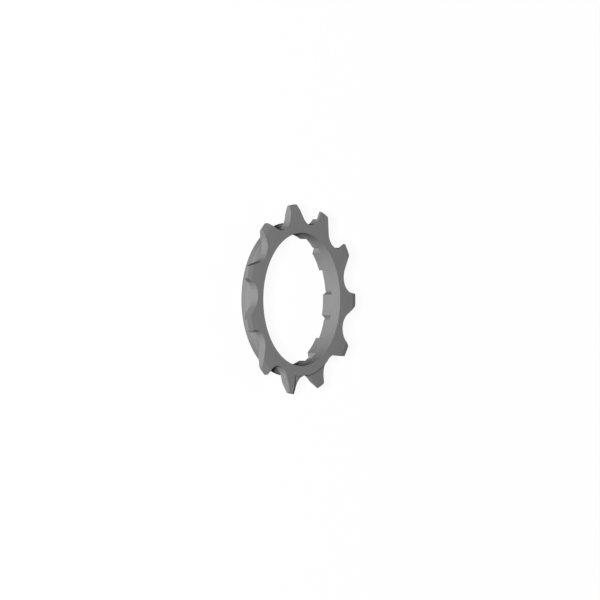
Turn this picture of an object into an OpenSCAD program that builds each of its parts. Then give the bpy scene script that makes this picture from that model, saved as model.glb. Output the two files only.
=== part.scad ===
/* [Chain] */
// Distance between neighbouring chain rollers
chain_pitch = 12.7; // [12.3:0.1:13.1]
// Number of teeth
teeth = 11; // [11:1:13]
// Radius of a roller seat, a little over the roller's own
seat_r = 3.93; // [3.8:0.02:4.0]

/* [Teeth] */
// Diameter over the tooth tips
tip_d = 46.7; // [46:0.1:47.6]
// Height taken off the two short teeth that let the chain across
short_drop = 0.25; // [0.1:0.05:0.8]
// Rounding of each tip's two corners, seen from the front
tip_corner_r = 0.35; // [0.2:0.05:0.7]
// Thickness of the toothed plate
plate_t = 1.8; // [1.6:0.05:2.1]
// Lean of the steep flank towards its tooth's centre line
steep_flank = 6.5; // [5:0.5:10]
// Lean of the sloped flank towards its tooth's centre line
sloped_flank = 29; // [26:0.5:31]
// Turn of each tooth past the middle of its two seats, in degrees
tooth_lean = 1.9; // [0.5:0.1:2.5]
// Angle of the first tooth's centre line
tooth_phase = -0.3; // [-16:0.1:16]

/* [Tip bevels] */
// Radial width of the front bevel
front_bevel_w = 1.55; // [1:0.05:2.4]
// Radial width of the narrow front bevel on the first short tooth
narrow_bevel_w = 0.5; // [0.2:0.05:0.9]
// Slope of both front bevels
front_bevel_angle = 11.5; // [6:0.5:16]
// Radial width of the back bevel
back_bevel_w = 2.1; // [1:0.05:2.4]
// Slope of the back bevel
back_bevel_angle = 18; // [8:0.5:20]

/* [Collar] */
// Width of the whole cog, from the front face to the collar's end
cog_w = 5.1; // [4.8:0.05:5.5]
// Diameter of the collar that spaces the next cog
collar_d = 37.5; // [37.4:0.05:38]
// Edge break round the collar's free end
collar_edge = 0.35; // [0.1:0.05:0.7]
// Diameter of the neck turned between the plate and the collar
neck_d = 37.1; // [36.5:0.05:37.1]
// Depth of the neck's far end below the front face
neck_depth = 3.25; // [2.6:0.05:3.4]

/* [Bore] */
// Diameter of the smooth land at the front
bore_d = 32.6; // [32.4:0.1:33.2]
// Length of the smooth land
bore_land = 2.65; // [2.4:0.05:3.2]

/* [Splines] */
// Number of spline tabs
splines = 9; // [7:1:10]
// Diameter between the tabs, round the freewheel body
spline_major_d = 34.7; // [34.5:0.1:35.2]
// Diameter over the tab crests
spline_minor_d = 32.4; // [31.6:0.1:32.4]
// Length that the grooves run past the tabs into the land
groove_runout = 0.1; // [0.05:0.05:0.3]
// Width of a tab at its crest
tab_crest_w = 5.15; // [4:0.1:5.6]
// Width of a tab at its root
tab_root_w = 6.5; // [5.8:0.1:7.4]
// Turn by which the one wide tab, which sets the way round, reaches further
index_turn = 7.6; // [6:0.2:10]
// Angle of the first tab's centre line
tab_phase = -4.8; // [-20:0.1:20]

/* [Shift ramp] */
// Inner diameter of the ramp cut into the front face
ramp_d = 37.4; // [37:0.1:38.2]
// Depth of the step at the ramp's inner edge
ramp_step = 0.44; // [0.15:0.01:0.5]
// Outward slope of the ramp
ramp_angle = 7.7; // [6:0.5:11]
// Turn of the ramp round the cog, in degrees
ramp_turn = 45; // [38:0.5:50]

/* [Tooth relief] */
// Radial length of the relief behind the two short teeth
relief_w = 2.45; // [1.8:0.05:3]
// Thickness left at the steep flank of each of the two
relief_t = [0.6, 0.5]; // [0.4:0.05:1.2]

/* [Hidden] */
$fn = 180;
// Overrun of every cut past the face it opens
over = 1;
tooth_angle = 360 / teeth;
pitch_r = chain_pitch / (2 * sin(180 / teeth));
tip_r = tip_d / 2;
short_tip_r = tip_r - short_drop;
back_bevel_r = tip_r - back_bevel_w;
relief_r = tip_r - relief_w;
collar_r = collar_d / 2;
neck_r = neck_d / 2;
land_r = bore_d / 2;
crest_r = spline_minor_d / 2;
groove_r = spline_major_d / 2;
plate_back = cog_w - plate_t;
neck_z = cog_w - neck_depth;
neck_top = neck_z + collar_r - neck_r;
socket_l = cog_w - bore_land;
back_bevel_h = back_bevel_w * tan(back_bevel_angle);
// Angle of the first roller seat, past the first tooth
seat_phase = tooth_phase + tooth_angle / 2 - tooth_lean;
// Lean of each flank against the gap's own centre line
up_lean = tooth_angle / 2 + tooth_lean + sloped_flank;
down_lean = -tooth_angle / 2 + tooth_lean - steep_flank;
// Places of the features, counted round in teeth and tabs from the first
short_tooth = 1;
short_teeth = len(relief_t);
ramp_tooth = 8;
wide_tab = 7;
// Points along each rounded tip corner
corner_steps = 6;
// How far a corner's arc runs past the tip circle, so that it crosses it and doesn't only touch
corner_lap = 0.004;

// Closed outline of the turned blank, as radius and height
function blank_outline() = [
    [crest_r, 0],
    [collar_r - collar_edge, 0],
    [collar_r, collar_edge],
    [collar_r, neck_z],
    [neck_r, neck_top],
    [neck_r, plate_back],
    [back_bevel_r, plate_back],
    [tip_r, plate_back + back_bevel_h],
    [tip_r, cog_w],
    [land_r, cog_w],
    [land_r, socket_l],
    [crest_r, socket_l]
];

// The turned blank: toothed plate, neck, collar, bore and the back bevel of the tips
module blank() {
    rotate_extrude() polygon(blank_outline());
}

// Distance from point p along direction e to the circle of radius r round the centre
function along(p, e, r) = let (b = p * e) -b + sqrt(b * b - p * p + r * r);

function turned(a) = [cos(a), sin(a)];

// Where the flank that leans by dir leaves its roller seat
function foot(dir, side) = [pitch_r, 0] + seat_r * side * [-sin(dir), cos(dir)];

// Arc that rounds a tip corner, from the flank round to the tip circle of radius outer
function corner(dir, side, outer) =
    let (n = side * [-sin(dir), cos(dir)],
         p = foot(dir, side) + tip_corner_r * n,
         c = p + along(p, turned(dir), outer + corner_lap - tip_corner_r) * turned(dir),
         a0 = atan2(-n[1], -n[0]),
         a1 = atan2(c[1], c[0]))
    [for (i = [0 : corner_steps]) c + tip_corner_r * turned(a0 + (a1 - a0) * i / corner_steps)];

function reversed(points) = [for (i = [len(points) - 1 : -1 : 0]) points[i]];

// Outline of one gap along +X, between tips of radius below and above
module gap_outline(below, above) {
    down = corner(down_lean, -1, below);
    up = corner(up_lean, 1, above);
    reach = tip_r + over;
    translate([pitch_r, 0]) circle(r = seat_r, $fn = 96);
    polygon(concat(
        [foot(down_lean, -1)],
        down,
        [reach * turned(atan2(down[corner_steps][1], down[corner_steps][0])),
         [reach, 0],
         reach * turned(atan2(up[corner_steps][1], up[corner_steps][0]))],
        reversed(up),
        [foot(up_lean, 1)]
    ));
}

function is_short(tooth) = tooth >= short_tooth && tooth < short_tooth + short_teeth;

function tooth_r(tooth) = is_short(tooth) ? short_tip_r : tip_r;

// The gaps between the teeth, cut through the plate and clear of the neck behind it
module gaps() {
    for (i = [0 : teeth - 1])
        rotate(seat_phase + i * tooth_angle) translate([0, 0, (neck_top + plate_back) / 2])
            linear_extrude(cog_w)
                gap_outline(tooth_r(i), tooth_r((i + 1) % teeth));
}

// Ring outside the tips of the short teeth
module short_tips() {
    rotate(seat_phase + (short_tooth - 1) * tooth_angle)
        rotate_extrude(angle = short_teeth * tooth_angle)
            translate([short_tip_r, neck_top]) square([tip_r, cog_w]);
}

// A front bevel that starts at radius inner, on count teeth from the first one given
module front_bevel(first, count, inner) {
    reach = tip_r + over;
    rotate(seat_phase + (first - 1) * tooth_angle)
        rotate_extrude(angle = count * tooth_angle) polygon([
            [inner - over / tan(front_bevel_angle), cog_w + over],
            [reach, cog_w - (reach - inner) * tan(front_bevel_angle)],
            [reach, cog_w + over]
        ]);
}

// Section of one spline tab, from inside its crest to outside its root
module tab_outline() {
    crest = tab_crest_w / 2;
    root = tab_root_w / 2;
    polygon([
        [crest_r - over, -crest],
        [crest_r, -crest],
        [groove_r + over, -root - (root - crest) * over / (groove_r - crest_r)],
        [groove_r + over, root + (root - crest) * over / (groove_r - crest_r)],
        [crest_r, crest],
        [crest_r - over, crest]
    ]);
}

// The grooves of the splined socket behind the smooth land
module socket() {
    translate([0, 0, -over]) linear_extrude(socket_l + groove_runout + over) difference() {
        circle(r = groove_r);
        for (i = [0 : splines - 1]) rotate(tab_phase + i * 360 / splines) tab_outline();
        rotate(tab_phase + wide_tab * 360 / splines + index_turn) tab_outline();
    }
}

// The shift ramp, a turned recess that a chain side plate passes over
module shift_ramp() {
    inner = ramp_d / 2;
    edge = inner + ramp_step;
    reach = tip_r + over;
    rotate(tooth_phase + ramp_tooth * tooth_angle) rotate_extrude(angle = ramp_turn) polygon([
        [inner - over, cog_w + over],
        [edge, cog_w - ramp_step],
        [reach, cog_w - ramp_step - (reach - edge) * tan(ramp_angle)],
        [reach, cog_w + over]
    ]);
}

// The relief behind one short tooth, deepest at its steep flank
module back_relief(tooth, left_t) {
    depth = plate_t - left_t;
    rotate(tooth_phase + tooth * tooth_angle)
        translate([relief_r, 0, plate_back]) rotate([90, 0, 90]) linear_extrude(tip_r)
            polygon([
                [-seat_r / 2 - over, -depth / seat_r * over],
                [seat_r / 2, depth],
                [2 * seat_r, depth],
                [2 * seat_r, -over],
                [-seat_r / 2 - over, -over]
            ]);
}

// The whole cog, one piece of steel
module cog() {
    color([0.44, 0.44, 0.44]) difference() {
        blank();
        gaps();
        short_tips();
        front_bevel(short_tooth + short_teeth, teeth - short_teeth, tip_r - front_bevel_w);
        front_bevel(short_tooth, 1, short_tip_r - narrow_bevel_w);
        socket();
        shift_ramp();
        for (i = [0 : short_teeth - 1]) back_relief(short_tooth + i, relief_t[i]);
    }
}

cog();
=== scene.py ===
"""A steel cassette cog that lies on a pale studio floor, seen from the photograph's angle."""

import logging
import math
from dataclasses import dataclass, field
from enum import Enum

import bmesh
import bpy
from mathutils import Matrix, Vector


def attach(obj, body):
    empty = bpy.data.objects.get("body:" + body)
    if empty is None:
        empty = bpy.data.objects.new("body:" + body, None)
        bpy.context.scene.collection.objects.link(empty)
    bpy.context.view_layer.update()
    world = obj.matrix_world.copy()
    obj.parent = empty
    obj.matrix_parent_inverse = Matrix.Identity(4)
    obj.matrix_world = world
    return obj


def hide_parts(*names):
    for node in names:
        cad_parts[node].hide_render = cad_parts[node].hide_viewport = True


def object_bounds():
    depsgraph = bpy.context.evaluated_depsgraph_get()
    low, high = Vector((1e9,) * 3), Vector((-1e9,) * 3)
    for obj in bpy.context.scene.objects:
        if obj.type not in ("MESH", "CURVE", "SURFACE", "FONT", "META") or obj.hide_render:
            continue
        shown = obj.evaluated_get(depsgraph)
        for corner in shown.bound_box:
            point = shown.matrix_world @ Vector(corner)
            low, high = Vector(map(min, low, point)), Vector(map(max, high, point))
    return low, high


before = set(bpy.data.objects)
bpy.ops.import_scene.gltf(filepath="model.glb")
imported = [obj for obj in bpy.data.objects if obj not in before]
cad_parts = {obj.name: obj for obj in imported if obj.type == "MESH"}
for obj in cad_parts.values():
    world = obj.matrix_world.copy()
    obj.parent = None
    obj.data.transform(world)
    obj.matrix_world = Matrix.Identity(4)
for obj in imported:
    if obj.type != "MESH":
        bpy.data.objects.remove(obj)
LOG = logging.getLogger("cog")
MM = 0.001
# How far a cutter reaches past the face that it opens, in millimetres
OVER = 1.0
CAD_LOW, CAD_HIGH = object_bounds()


def node(tree: bpy.types.NodeTree, kind: str, **values: object) -> bpy.types.Node:
    """Add one node to a tree.

    Args:
        tree: The tree that gets the node.
        kind: The node's type name.
        **values: Attributes of the node, set by name.

    Returns:
        The new node.
    """
    made = tree.nodes.new(kind)
    for name, value in values.items():
        setattr(made, name, value)
    return made


def bare_tree(owner: bpy.types.Material | bpy.types.World) -> bpy.types.NodeTree:
    """Turn on the nodes of a material or a world.

    Args:
        owner: The material or the world.

    Returns:
        Its node tree, emptied.
    """
    owner.use_nodes = True
    owner.node_tree.nodes.clear()
    return owner.node_tree


def shown(name: str, data: bpy.types.ID) -> bpy.types.Object:
    """Make an object and put it into the scene.

    Args:
        name: The object's name.
        data: Its mesh, lamp or camera.

    Returns:
        The object.
    """
    made = bpy.data.objects.new(name, data)
    bpy.context.scene.collection.objects.link(made)
    return made


def settled(thing: bpy.types.Object) -> bpy.types.Mesh:
    """Work out what an object's modifiers make of it.

    Args:
        thing: The object with its modifiers.

    Returns:
        A plain mesh of the result.
    """
    bpy.context.view_layer.update()
    shaped = thing.evaluated_get(bpy.context.evaluated_depsgraph_get())
    return bpy.data.meshes.new_from_object(shaped)


@dataclass(frozen=True)
class SteelFinish:
    """Matt grey steel, as it comes from the tumbling drum."""

    name: str = "tumbled_steel"
    colour: tuple[float, float, float] = (0.162, 0.162, 0.162)
    roughness: float = 0.8
    roughness_spread: float = 0.05
    metallic: float = 0.0
    specular: float = 0.0
    mottle_share: float = 0.06
    mottle_size: float = 2.5 * MM
    mottle_detail: float = 4.0
    grain_size: float = 0.16 * MM
    grain_depth: float = 0.0025 * MM

    def tint(self, share: float) -> tuple[float, float, float, float]:
        """Give the steel's colour, lighter or darker by a share."""
        return (*(c * (1 + share) for c in self.colour), 1)

    def material(self) -> bpy.types.Material:
        """Build the material.

        Returns:
            The procedural material.
        """
        made = bpy.data.materials.new(self.name)
        tree = bare_tree(made)
        link = tree.links.new
        shader = node(tree, "ShaderNodeBsdfPrincipled")
        shader.inputs["Metallic"].default_value = self.metallic
        shader.inputs["Specular IOR Level"].default_value = self.specular
        output = node(tree, "ShaderNodeOutputMaterial")
        link(shader.outputs["BSDF"], output.inputs["Surface"])
        place = node(tree, "ShaderNodeTexCoord")
        mottle = node(tree, "ShaderNodeTexNoise")
        mottle.inputs["Scale"].default_value = 1 / self.mottle_size
        mottle.inputs["Detail"].default_value = self.mottle_detail
        link(place.outputs["Object"], mottle.inputs["Vector"])
        tint = node(tree, "ShaderNodeMix", data_type="RGBA")
        tint.inputs["A"].default_value = self.tint(-self.mottle_share)
        tint.inputs["B"].default_value = self.tint(self.mottle_share)
        link(mottle.outputs["Fac"], tint.inputs["Factor"])
        link(tint.outputs["Result"], shader.inputs["Base Color"])
        spread = node(tree, "ShaderNodeMapRange")
        spread.inputs["To Min"].default_value = self.roughness - self.roughness_spread
        spread.inputs["To Max"].default_value = self.roughness + self.roughness_spread
        link(mottle.outputs["Fac"], spread.inputs["Value"])
        link(spread.outputs["Result"], shader.inputs["Roughness"])
        grain = node(tree, "ShaderNodeTexNoise")
        grain.inputs["Scale"].default_value = 1 / self.grain_size
        link(place.outputs["Object"], grain.inputs["Vector"])
        bump = node(tree, "ShaderNodeBump")
        bump.inputs["Distance"].default_value = self.grain_depth
        link(grain.outputs["Fac"], bump.inputs["Height"])
        link(bump.outputs["Normal"], shader.inputs["Normal"])
        return made


@dataclass
class PhotoCamera:
    """The photograph's camera: very far away, and looking down on the cog."""

    frame_px: int = 600
    px_per_mm: float = 4.08
    centre_px: tuple[float, float] = (301.9, 299.4)
    elevation: float = 35.2
    lens: float = 800.0
    sensor: float = 36.0
    clip_start: float = 0.1
    clip_end: float = 20.0

    def place(self, target: Vector) -> bpy.types.Object:
        """Make the camera and put it in place.

        Args:
            target: The point of the cog that shows at centre_px.

        Returns:
            The camera.
        """
        data = bpy.data.cameras.new("photo_camera")
        data.lens = self.lens
        data.sensor_width = self.sensor
        data.clip_start = self.clip_start
        data.clip_end = self.clip_end
        rise = math.radians(self.elevation)
        back = Vector((-math.cos(rise), 0, math.sin(rise)))
        up = Vector((0, 1, 0))
        right = up.cross(back)
        pixel = MM / self.px_per_mm
        off_x = (self.frame_px / 2 - self.centre_px[0]) * pixel
        off_y = (self.centre_px[1] - self.frame_px / 2) * pixel
        distance = self.frame_px * pixel * self.lens / self.sensor
        eye = target + right * off_x + up * off_y + back * distance
        camera = shown("photo_camera", data)
        turn = Matrix((right, up, back)).transposed().to_4x4()
        camera.matrix_world = Matrix.Translation(eye) @ turn
        bpy.context.scene.camera = camera
        return camera


class Light(Enum):
    """Where each lamp stands, from the cog: azimuth and elevation in degrees."""

    KEY = (180.0, 26.0)
    FILL = (0.0, 25.0)


@dataclass
class Studio:
    """A pale floor, a soft key from the camera's side, a weak fill and a pale surrounding."""

    floor_half: float = 1.5
    floor_drop: float = 0.02 * MM
    lamp_distance: float = 2.0
    lamp_size: float = 0.35
    key_power: float = 84.0
    fill_power: float = 10.0
    ambient: float = 0.02
    # The floor's grey where it throws light back, and where it takes the cog's shadow
    dull_grey: float = 0.06
    paper_grey: float = 0.9
    shadow_share: float = 0.06

    def seen(self, tree: bpy.types.NodeTree) -> bpy.types.NodeSocket:
        """Make the mask of the rays that see the white surrounding.

        Args:
            tree: The tree that gets the mask's nodes.

        Returns:
            A socket that is 1 for camera, glossy and transmission rays.
        """
        path = node(tree, "ShaderNodeLightPath")
        mask = path.outputs["Is Camera Ray"]
        for ray in ("Is Glossy Ray", "Is Transmission Ray"):
            either = node(tree, "ShaderNodeMath", operation="MAXIMUM")
            tree.links.new(mask, either.inputs[0])
            tree.links.new(path.outputs[ray], either.inputs[1])
            mask = either.outputs["Value"]
        return mask

    def paper(self) -> bpy.types.Material:
        """Build the floor's material, white where it is seen and dull where it only lights.

        Returns:
            The material, which keeps the cog's shadow.
        """
        made = bpy.data.materials.new("floor_paper")
        tree = bare_tree(made)
        link = tree.links.new
        dull = node(tree, "ShaderNodeBsdfDiffuse")
        dull.inputs["Color"].default_value = (*(self.dull_grey,) * 3, 1)
        pale = node(tree, "ShaderNodeBsdfDiffuse")
        pale.inputs["Color"].default_value = (*(self.paper_grey,) * 3, 1)
        white = node(tree, "ShaderNodeEmission")
        surface = node(tree, "ShaderNodeMixShader")
        surface.inputs["Fac"].default_value = self.shadow_share
        link(white.outputs["Emission"], surface.inputs[1])
        link(pale.outputs["BSDF"], surface.inputs[2])
        both = node(tree, "ShaderNodeMixShader")
        link(self.seen(tree), both.inputs["Fac"])
        link(dull.outputs["BSDF"], both.inputs[1])
        link(surface.outputs["Shader"], both.inputs[2])
        output = node(tree, "ShaderNodeOutputMaterial")
        link(both.outputs["Shader"], output.inputs["Surface"])
        return made

    def floor(self) -> bpy.types.Object:
        """Make the floor that the cog lies on.

        Returns:
            The floor.
        """
        half, level = self.floor_half, -self.floor_drop
        corners = [(-half, -half, level), (half, -half, level),
                   (half, half, level), (-half, half, level)]
        mesh = bpy.data.meshes.new("floor")
        mesh.from_pydata(corners, [], [(0, 1, 2, 3)])
        mesh.materials.append(self.paper())
        plane = shown("floor", mesh)
        return plane

    def lamp(self, light: Light, power: float) -> bpy.types.Object:
        """Make one soft lamp that looks at the cog.

        Args:
            light: Where the lamp stands.
            power: Its power in watts.

        Returns:
            The lamp.
        """
        azimuth, rise = (math.radians(angle) for angle in light.value)
        away = Vector((math.cos(azimuth) * math.cos(rise),
                       math.sin(azimuth) * math.cos(rise), math.sin(rise)))
        data = bpy.data.lights.new(light.name.lower(), "AREA")
        data.shape = "DISK"
        data.size = self.lamp_size
        data.energy = power
        lamp = shown(light.name.lower(), data)
        lamp.location = away * self.lamp_distance
        lamp.rotation_euler = away.to_track_quat("Z", "Y").to_euler()
        return lamp

    def world(self) -> None:
        """Make the surrounding: white where it is seen, and weak where it only lights."""
        made = bpy.data.worlds.new("surrounding")
        bpy.context.scene.world = made
        tree = bare_tree(made)
        back = node(tree, "ShaderNodeBackground")
        level = node(tree, "ShaderNodeMapRange")
        level.inputs["To Min"].default_value = self.ambient
        tree.links.new(self.seen(tree), level.inputs["Value"])
        tree.links.new(level.outputs["Result"], back.inputs["Strength"])
        output = node(tree, "ShaderNodeOutputWorld")
        tree.links.new(back.outputs["Background"], output.inputs["Surface"])

    def build(self) -> None:
        """Make the whole studio."""
        self.floor()
        self.lamp(Light.KEY, self.key_power)
        self.lamp(Light.FILL, self.fill_power)
        self.world()


def turned(degrees: float) -> Vector:
    """Give the flat unit vector at an angle."""
    return Vector((math.cos(math.radians(degrees)), math.sin(math.radians(degrees))))


def bearing(point: Vector) -> float:
    """Give the angle of a flat point round the axis, in degrees."""
    return math.degrees(math.atan2(point.y, point.x))


def spun(point: Vector, degrees: float) -> Vector:
    """Turn a flat point round the axis."""
    return Matrix.Rotation(math.radians(degrees), 2) @ point


def arc(centre: Vector, radius: float, first: float, last: float, steps: int) -> list[Vector]:
    """Divide an arc evenly.

    Args:
        centre: Its centre.
        radius: Its radius.
        first: Angle at which it starts, in degrees.
        last: Angle at which it ends.
        steps: How many steps it has.

    Returns:
        Its points, with both ends.
    """
    return [centre + turned(first + (last - first) * i / steps) * radius
            for i in range(steps + 1)]


def loft(name: str, rings: list[list[Vector]], closed: bool = False) -> bpy.types.Object:
    """Make one closed solid through outlines that follow each other.

    Args:
        name: The object's name.
        rings: Outlines with the same number of points each, in millimetres.
        closed: Whether the last outline joins the first one, or both are ends.

    Returns:
        The solid, in metres, with its faces turned outwards.
    """
    count, size = len(rings), len(rings[0])
    faces = [[i * size + j, i * size + (j + 1) % size,
              (i + 1) % count * size + (j + 1) % size, (i + 1) % count * size + j]
             for i in range(count if closed else count - 1) for j in range(size)]
    if not closed:
        faces += [list(range(size)), list(range((count - 1) * size, count * size))]
    mesh = bpy.data.meshes.new(name)
    mesh.from_pydata([point * MM for ring in rings for point in ring], [], faces)
    work = bmesh.new()
    work.from_mesh(mesh)
    bmesh.ops.recalc_face_normals(work, faces=work.faces)
    work.to_mesh(mesh)
    work.free()
    return shown(name, mesh)


def prism(name: str, outline: list[Vector], low: float, high: float) -> bpy.types.Object:
    """Make an upright prism.

    Args:
        name: The object's name.
        outline: Its section, seen from above, in millimetres.
        low: Height of its foot.
        high: Height of its top.

    Returns:
        The prism.
    """
    return loft(name, [[Vector((*point, z)) for point in outline] for z in (low, high)])


def sector(name: str, outline: list[tuple[float, float]], start: float = 0.0,
           sweep: float = 360.0) -> bpy.types.Object:
    """Turn a section round the axis, in steps of about a degree.

    Args:
        name: The object's name.
        outline: The section, as radius and height in millimetres.
        start: Angle at which the sweep starts, in degrees.
        sweep: Angle of the sweep, a whole turn if none is given.

    Returns:
        The turned solid.
    """
    whole = sweep >= 360.0
    steps = round(sweep)
    angles = [start + sweep * i / steps for i in range(steps if whole else steps + 1)]
    rings = [[Vector((*(turned(a) * r), z)) for r, z in outline] for a in angles]
    return loft(name, rings, closed=whole)


@dataclass(frozen=True)
class ToothForm:
    """The rule of the teeth: a chain's pitch, and the flanks between a roller seat and a tip.

    Sizes are in millimetres and angles in degrees.
    """

    chain_pitch: float = 12.7
    teeth: int = 11
    seat_r: float = 3.93
    tip_r: float = 23.35
    corner_r: float = 0.35
    # How far a corner's arc runs past the tip circle, so that it crosses it
    corner_lap: float = 0.004
    steep_flank: float = 6.5
    sloped_flank: float = 29.0
    # Turn of each tooth past the middle of its two seats
    lean: float = 1.9
    phase: float = -0.3
    seat_steps: int = 28
    corner_steps: int = 12

    @property
    def turn(self) -> float:
        """Angle from one tooth to the next."""
        return 360.0 / self.teeth

    @property
    def pitch_r(self) -> float:
        """Radius of the circle that the rollers' centres lie on."""
        return self.chain_pitch / (2 * math.sin(math.radians(self.turn / 2)))

    @property
    def reach(self) -> float:
        """Radius that the cutters of the teeth reach to, outside the tips."""
        return self.tip_r + OVER

    @property
    def seat_phase(self) -> float:
        """Angle of the first roller seat."""
        return self.phase + self.turn / 2 - self.lean

    def seat_before(self, tooth: int) -> float:
        """Angle of the roller seat before a tooth."""
        return self.seat_phase + (tooth - 1) * self.turn

    def middle(self, tooth: int) -> float:
        """Angle of a tooth's centre line."""
        return self.phase + tooth * self.turn

    def corner(self, flank: float, side: int) -> list[Vector]:
        """Round one tip corner.

        Args:
            flank: Angle of the flank against the gap's centre line, in degrees.
            side: 1 for the flank above the gap, -1 for the one below it.

        Returns:
            Points from the flank round to the tip circle.
        """
        along = turned(flank)
        inward = turned(flank + 90) * side
        start = Vector((self.pitch_r, 0)) + inward * (self.seat_r + self.corner_r)
        # The arc's centre is where the line from start along the flank meets this circle
        outer = self.tip_r + self.corner_lap - self.corner_r
        ahead = start.dot(along)
        run = math.sqrt(ahead * ahead - start.length_squared + outer * outer) - ahead
        centre = start + along * run
        return arc(centre, self.corner_r, bearing(-inward), bearing(centre), self.corner_steps)

    def gap(self) -> list[Vector]:
        """Draw the gap between two teeth.

        Returns:
            Its outline, with its centre line along +X.
        """
        up_flank = self.turn / 2 + self.lean + self.sloped_flank
        down_flank = -self.turn / 2 + self.lean - self.steep_flank
        up, down = self.corner(up_flank, 1), self.corner(down_flank, -1)
        seat = arc(Vector((self.pitch_r, 0)), self.seat_r, up_flank + 90, down_flank + 270,
                   self.seat_steps)
        outside = [down[-1].normalized() * self.reach, Vector((self.reach, 0)),
                   up[-1].normalized() * self.reach]
        return seat + down + outside + up[::-1]


@dataclass(frozen=True)
class SocketForm:
    """The splined socket: tabs with sloped sides, and grooves between them.

    Sizes are in millimetres and angles in degrees.
    """

    splines: int = 9
    groove_r: float = 17.35
    crest_r: float = 16.2
    crest_w: float = 5.15
    root_w: float = 6.5
    # How far inside groove_r, along a tab's centre line, its root's corners lie
    root_inset: float = 0.03
    phase: float = -4.8
    wide_tab: int = 7
    # Turn by which the wide tab reaches further
    index_turn: float = 7.6
    arc_steps: int = 12

    @property
    def turn(self) -> float:
        """Angle from one tab to the next."""
        return 360.0 / self.splines

    def groove_after(self, tab: int) -> float:
        """Angle of a tab's centre line, from which the groove after it is placed."""
        return self.phase + tab * self.turn

    def groove(self, narrower: float) -> list[Vector]:
        """Draw one groove.

        Args:
            narrower: Turn by which the tab before the groove reaches into it, in degrees.

        Returns:
            Its outline, with the tab before the groove at angle 0.
        """
        crest, root = self.crest_w / 2, self.root_w / 2
        flank = [(self.crest_r - OVER, crest), (self.crest_r, crest),
                 (self.groove_r - self.root_inset, root)]
        before = [spun(Vector((x, y)), narrower) for x, y in flank]
        after = [spun(Vector((x, -y)), self.turn) for x, y in flank]
        floor = arc(Vector((0, 0)), self.groove_r, bearing(before[-1]), bearing(after[-1]),
                    self.arc_steps)
        return before + floor[1:-1] + after[::-1]


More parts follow.
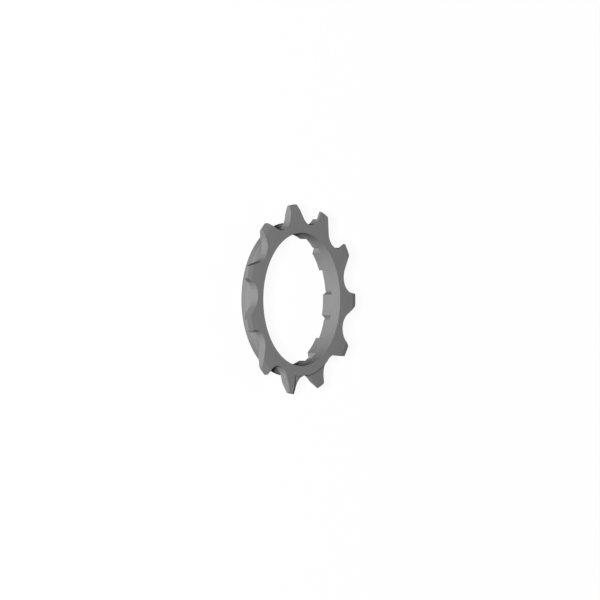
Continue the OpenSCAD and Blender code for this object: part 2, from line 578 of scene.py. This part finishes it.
class CutTree:
    """The rule that makes the cog from its turned blank: rings of equal cuts, and single ones."""

    weld_distance: float = 0.002 * MM

    def __init__(self, name: str) -> None:
        """Start the node tree.

        Args:
            name: The tree's name.
        """
        self.tree = bpy.data.node_groups.new(name, "GeometryNodeTree")
        self.values: dict[str, object] = {}
        self.socket("Geometry", "NodeSocketGeometry", None)
        self.tree.interface.new_socket("Geometry", in_out="OUTPUT",
                                       socket_type="NodeSocketGeometry")
        self.start = node(self.tree, "NodeGroupInput")
        self.cut = node(self.tree, "GeometryNodeMeshBoolean", operation="DIFFERENCE",
                        solver="EXACT")
        self.cut.inputs["Self Intersection"].default_value = False
        self.tree.links.new(self.start.outputs["Geometry"], self.cut.inputs["Mesh 1"])

    def socket(self, name: str, kind: str, value: object) -> None:
        """Give the tree one named input.

        Args:
            name: The input's name.
            kind: The input's socket type.
            value: The value that the modifier sets, or None for the geometry.
        """
        made = self.tree.interface.new_socket(name, in_out="INPUT", socket_type=kind)
        if value is not None:
            self.values[made.identifier] = value

    def solid(self, name: str, piece: bpy.types.Object) -> bpy.types.NodeSocket:
        """Bring in one cutter as a named input.

        Args:
            name: The input's name.
            piece: The cutter.

        Returns:
            The cutter's geometry.
        """
        self.socket(name, "NodeSocketObject", piece)
        info = node(self.tree, "GeometryNodeObjectInfo", transform_space="ORIGINAL")
        self.tree.links.new(self.start.outputs[name], info.inputs["Object"])
        return info.outputs["Geometry"]

    def single(self, name: str, piece: bpy.types.Object) -> None:
        """Cut one solid away, once."""
        self.tree.links.new(self.solid(name, piece), self.cut.inputs["Mesh 2"])

    def ring(self, name: str, piece: bpy.types.Object, count: int, start: float,
             turn: float) -> None:
        """Cut one solid away again and again, round the axis.

        Args:
            name: Name of the input that holds the solid.
            piece: The solid that is cut away.
            count: How many times it is cut.
            start: Angle of the first cut, in degrees.
            turn: Angle from each cut to the next, in degrees.
        """
        geometry = self.solid(name, piece)
        self.socket(f"{name} Count", "NodeSocketInt", count)
        self.socket(f"{name} Start", "NodeSocketFloat", math.radians(start))
        self.socket(f"{name} Turn", "NodeSocketFloat", math.radians(turn))
        link, given = self.tree.links.new, self.start.outputs
        points = node(self.tree, "GeometryNodePoints")
        link(given[f"{name} Count"], points.inputs["Count"])
        index = node(self.tree, "GeometryNodeInputIndex")
        angle = node(self.tree, "ShaderNodeMath", operation="MULTIPLY_ADD")
        link(index.outputs["Index"], angle.inputs[0])
        link(given[f"{name} Turn"], angle.inputs[1])
        link(given[f"{name} Start"], angle.inputs[2])
        spin = node(self.tree, "ShaderNodeCombineXYZ")
        link(angle.outputs["Value"], spin.inputs["Z"])
        copies = node(self.tree, "GeometryNodeInstanceOnPoints")
        link(points.outputs["Points"], copies.inputs["Points"])
        link(geometry, copies.inputs["Instance"])
        link(spin.outputs["Vector"], copies.inputs["Rotation"])
        whole = node(self.tree, "GeometryNodeRealizeInstances")
        link(copies.outputs["Instances"], whole.inputs["Geometry"])
        link(whole.outputs["Geometry"], self.cut.inputs["Mesh 2"])

    def finish(self, material: bpy.types.Material) -> None:
        """End the tree: weld, realize and set the material.

        Args:
            material: The finished piece's material.
        """
        self.socket("Material", "NodeSocketMaterial", material)
        link = self.tree.links.new
        weld = node(self.tree, "GeometryNodeMergeByDistance")
        weld.inputs["Distance"].default_value = self.weld_distance
        link(self.cut.outputs["Mesh"], weld.inputs["Geometry"])
        whole = node(self.tree, "GeometryNodeRealizeInstances")
        link(weld.outputs["Geometry"], whole.inputs["Geometry"])
        paint = node(self.tree, "GeometryNodeSetMaterial")
        link(whole.outputs["Geometry"], paint.inputs["Geometry"])
        link(self.start.outputs["Material"], paint.inputs["Material"])
        end = node(self.tree, "NodeGroupOutput")
        link(paint.outputs["Geometry"], end.inputs["Geometry"])

    def run(self, blank: bpy.types.Object, name: str) -> bpy.types.Object:
        """Put the tree to work on a blank.

        Args:
            blank: The solid that the cuts are made in.
            name: The finished piece's name.

        Returns:
            The finished piece, a plain mesh.
        """
        modifier = blank.modifiers.new(name, "NODES")
        modifier.node_group = self.tree
        for identifier, value in self.values.items():
            modifier[identifier] = value
        mesh = settled(blank)
        blank.modifiers.remove(modifier)
        return shown(name, mesh)


@dataclass
class Cog:
    """The cog itself, one piece of steel, cut by the rules of its teeth and its tabs.

    It is a toothed plate, a neck and a collar. Sizes are in millimetres and angles in degrees.
    """

    finish: SteelFinish = field(default_factory=SteelFinish)
    form: ToothForm = field(default_factory=ToothForm)
    tabs: SocketForm = field(default_factory=SocketForm)
    width: float = CAD_HIGH.z / MM
    plate_t: float = 1.8
    bevel_w: float = 1.55
    narrow_bevel_w: float = 0.5
    bevel_angle: float = 11.5
    back_bevel_w: float = 2.1
    back_bevel_angle: float = 18.0
    collar_r: float = 18.75
    collar_edge: float = 0.35
    neck_r: float = 18.55
    neck_depth: float = 3.25
    land_r: float = 16.3
    land_l: float = 2.65
    # Length that the grooves run past the tabs into the land
    groove_runout: float = 0.1
    ramp_r: float = 18.7
    ramp_step: float = 0.44
    ramp_angle: float = 7.7
    ramp_turn: float = 45.0
    ramp_tooth: int = 8
    # The first of the short teeth, which follow each other
    short_tooth: int = 1
    short_drop: float = 0.25
    relief_w: float = 2.45
    # Thickness that the relief leaves at the steep flank of each short tooth
    relief_t: tuple[float, ...] = (0.6, 0.5)
    edge_break: float = 0.04
    edge_segments: int = 2
    # Angle between two faces from which their edge is broken and shaded sharp
    sharp_from: float = 8.0

    @property
    def plate_back(self) -> float:
        """Height of the plate's back."""
        return self.width - self.plate_t

    @property
    def neck_top(self) -> float:
        """Height at which the neck reaches its own radius."""
        return self.width - self.neck_depth + self.collar_r - self.neck_r

    @property
    def socket_l(self) -> float:
        """Length of the tabs, from the collar's free end."""
        return self.width - self.land_l

    @property
    def short_teeth(self) -> int:
        """Number of short teeth."""
        return len(self.relief_t)

    @property
    def short_r(self) -> float:
        """Radius of the short teeth's tips."""
        return self.form.tip_r - self.short_drop

    def blank(self) -> bpy.types.Object:
        """Turn the blank, with its bore and the back bevel of the tips.

        Returns:
            The blank.
        """
        tip, crest, front = self.form.tip_r, self.tabs.crest_r, self.width
        bevel_h = self.back_bevel_w * math.tan(math.radians(self.back_bevel_angle))
        return sector("blank", [
            (crest, 0),
            (self.collar_r - self.collar_edge, 0),
            (self.collar_r, self.collar_edge),
            (self.collar_r, front - self.neck_depth),
            (self.neck_r, self.neck_top),
            (self.neck_r, self.plate_back),
            (tip - self.back_bevel_w, self.plate_back),
            (tip, self.plate_back + bevel_h),
            (tip, front),
            (self.land_r, front),
            (self.land_r, self.socket_l),
            (crest, self.socket_l)])

    def tip_bevel(self, name: str, first: int, count: int, inner: float) -> bpy.types.Object:
        """Make the cutter of a front bevel.

        Args:
            name: The cutter's name.
            first: The first tooth that it bevels.
            count: How many teeth it bevels.
            inner: Radius at which the bevel starts.

        Returns:
            The cutter.
        """
        form, front = self.form, self.width
        slope = math.tan(math.radians(self.bevel_angle))
        outline = [(inner - OVER / slope, front + OVER),
                   (form.reach, front - (form.reach - inner) * slope),
                   (form.reach, front + OVER)]
        return sector(name, outline, form.seat_before(first), count * form.turn)

    def short_tips(self) -> bpy.types.Object:
        """Make the ring that shortens the short teeth.

        Returns:
            The cutter.
        """
        form, top = self.form, self.width + OVER
        outline = [(self.short_r, self.neck_top), (form.reach, self.neck_top),
                   (form.reach, top), (self.short_r, top)]
        return sector("short tips", outline, form.seat_before(self.short_tooth),
                      self.short_teeth * form.turn)

    def ramp(self) -> bpy.types.Object:
        """Make the cutter of the shift ramp.

        Returns:
            The cutter.
        """
        form, front = self.form, self.width
        edge = self.ramp_r + self.ramp_step
        fall = (form.reach - edge) * math.tan(math.radians(self.ramp_angle))
        outline = [(self.ramp_r - OVER, front + OVER), (edge, front - self.ramp_step),
                   (form.reach, front - (self.ramp_step + fall)), (form.reach, front + OVER)]
        return sector("ramp", outline, form.middle(self.ramp_tooth), self.ramp_turn)

    def relief(self, tooth: int, left_t: float) -> bpy.types.Object:
        """Make the cutter that thins a short tooth from behind.

        Args:
            tooth: The tooth's number.
            left_t: Thickness that is left at its steep flank.

        Returns:
            The cutter.
        """
        depth, seat = self.plate_t - left_t, self.form.seat_r
        outline = [(-seat / 2 - OVER, -depth / seat * OVER), (seat / 2, depth),
                   (2 * seat, depth), (2 * seat, -OVER), (-seat / 2 - OVER, -OVER)]
        spin = Matrix.Rotation(math.radians(self.form.middle(tooth)), 3, "Z")
        inner = self.form.tip_r - self.relief_w
        ends = (inner, inner + self.form.tip_r)
        return loft(f"relief {tooth}", [
            [spin @ Vector((x, y, self.plate_back + z)) for y, z in outline] for x in ends])

    def rule(self) -> tuple[CutTree, list[bpy.types.Object]]:
        """Build the tree that cuts the cog out of its blank.

        Returns:
            The tree, and the cutters that it uses.
        """
        form, tabs = self.form, self.tabs
        # The gaps end between the neck's top and the plate's back, clear of the neck's cone
        gap = prism("gap", form.gap(), (self.neck_top + self.plate_back) / 2, self.width + OVER)
        depth = self.socket_l + self.groove_runout
        groove = prism("groove", tabs.groove(0.0), -OVER, depth)
        narrow = prism("narrow groove", tabs.groove(tabs.index_turn), -OVER, depth)
        tree = CutTree("cog rule")
        tree.ring("Gap", gap, form.teeth, form.seat_phase, form.turn)
        tree.ring("Groove", groove, tabs.splines - 1, tabs.groove_after(tabs.wide_tab + 1),
                  tabs.turn)
        tree.ring("Narrow Groove", narrow, 1, tabs.groove_after(tabs.wide_tab), tabs.turn)
        singles = [
            self.short_tips(),
            self.ramp(),
            self.tip_bevel("front bevel", self.short_tooth + self.short_teeth,
                           form.teeth - self.short_teeth, form.tip_r - self.bevel_w),
            self.tip_bevel("narrow bevel", self.short_tooth, 1,
                           self.short_r - self.narrow_bevel_w)]
        singles += [self.relief(self.short_tooth + i, left_t)
                    for i, left_t in enumerate(self.relief_t)]
        for cutter in singles:
            tree.single(cutter.name.title(), cutter)
        tree.finish(self.finish.material())
        return tree, [gap, groove, narrow, *singles]

    def soften(self, piece: bpy.types.Object) -> None:
        """Break the sharp edges and shade the round faces smooth.

        Args:
            piece: The cog as it was cut.
        """
        broken = piece.modifiers.new("edge break", "BEVEL")
        broken.width = self.edge_break * MM
        broken.segments = self.edge_segments
        broken.limit_method = "ANGLE"
        broken.angle_limit = math.radians(self.sharp_from)
        broken.use_clamp_overlap = False
        mesh = settled(piece)
        piece.modifiers.remove(broken)
        piece.data = mesh
        # The break lifts a few points past the front face, and they are set level with it
        for vertex in mesh.vertices:
            vertex.co.z = min(vertex.co.z, CAD_HIGH.z)
        mesh.shade_smooth()
        mesh.set_sharp_from_angle(angle=math.radians(self.sharp_from))

    def build(self) -> bpy.types.Object:
        """Make the cog, break its edges and let it stand for the model's own.

        Returns:
            The cog's object.
        """
        blank = self.blank()
        tree, cutters = self.rule()
        piece = tree.run(blank, "toothed_cog")
        for spare in (blank, *cutters):
            bpy.data.objects.remove(spare)
        self.soften(piece)
        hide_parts("cog")
        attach(piece, "root")
        return piece


def main() -> None:
    """Build the scene in order and report the cog's number of faces."""
    logging.basicConfig(level=logging.INFO, format="%(name)s: %(message)s")
    bpy.context.scene.view_settings.view_transform = "Standard"
    cog = Cog().build()
    LOG.info("%s: %d faces", cog.name, len(cog.data.polygons))
    PhotoCamera().place(Vector((0, 0, CAD_HIGH.z)))
    Studio().build()


if __name__ == "__main__":
    main()
